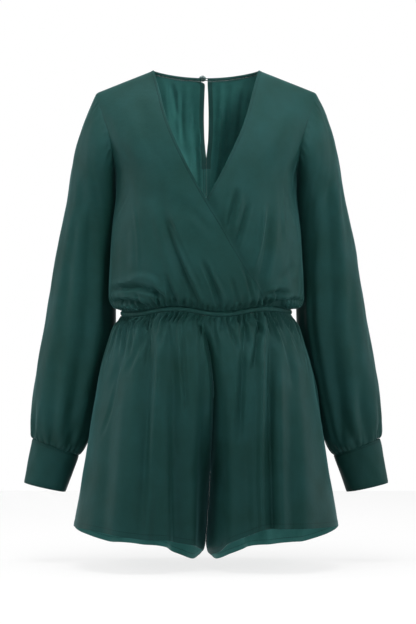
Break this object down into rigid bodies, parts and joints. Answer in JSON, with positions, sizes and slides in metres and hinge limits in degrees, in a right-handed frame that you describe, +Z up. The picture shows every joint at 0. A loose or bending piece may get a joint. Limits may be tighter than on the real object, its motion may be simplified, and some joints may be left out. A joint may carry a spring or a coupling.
{
  "type": "long-sleeved wrap-front romper",
  "caption": "Hollow long-sleeved romper with a wrap V front, gathered waist, flared shorts, cuffed sleeves and a keyhole back with a button and loop.",
  "frame": {"origin": "midway between the shoulders, at half the height of the shoulder seams, where the garment rests on its wearer", "axes": "+Z up, -Y towards the garment's front, +X towards the wearer's left"},
  "size_m": [0.5992, 0.2544, 0.7972],
  "materials": {
    "crepe": "dark green matt crepe with a faint sheen",
    "crepe_inside": "wrong side of the same crepe, slightly paler",
    "button_resin": "small grey-green button with a darker dished middle"
  },
  "bodies": {
    "root": {"front_right": "crepe", "front_left": "crepe", "back_right": "crepe", "back_left": "crepe", "neck_binding_right": "crepe", "neck_binding_left": "crepe", "sleeve_right": "crepe", "sleeve_left": "crepe", "cuff_right": "crepe", "cuff_left": "crepe", "waist_casing": "crepe", "shorts_front_right": "crepe", "shorts_front_left": "crepe", "shorts_back_right": "crepe", "shorts_back_left": "crepe", "button_loop": "crepe", "keyhole_facing_right": "crepe_inside", "keyhole_facing_left": "crepe_inside", "button": "button_resin"}
  },
  "joints": []
}
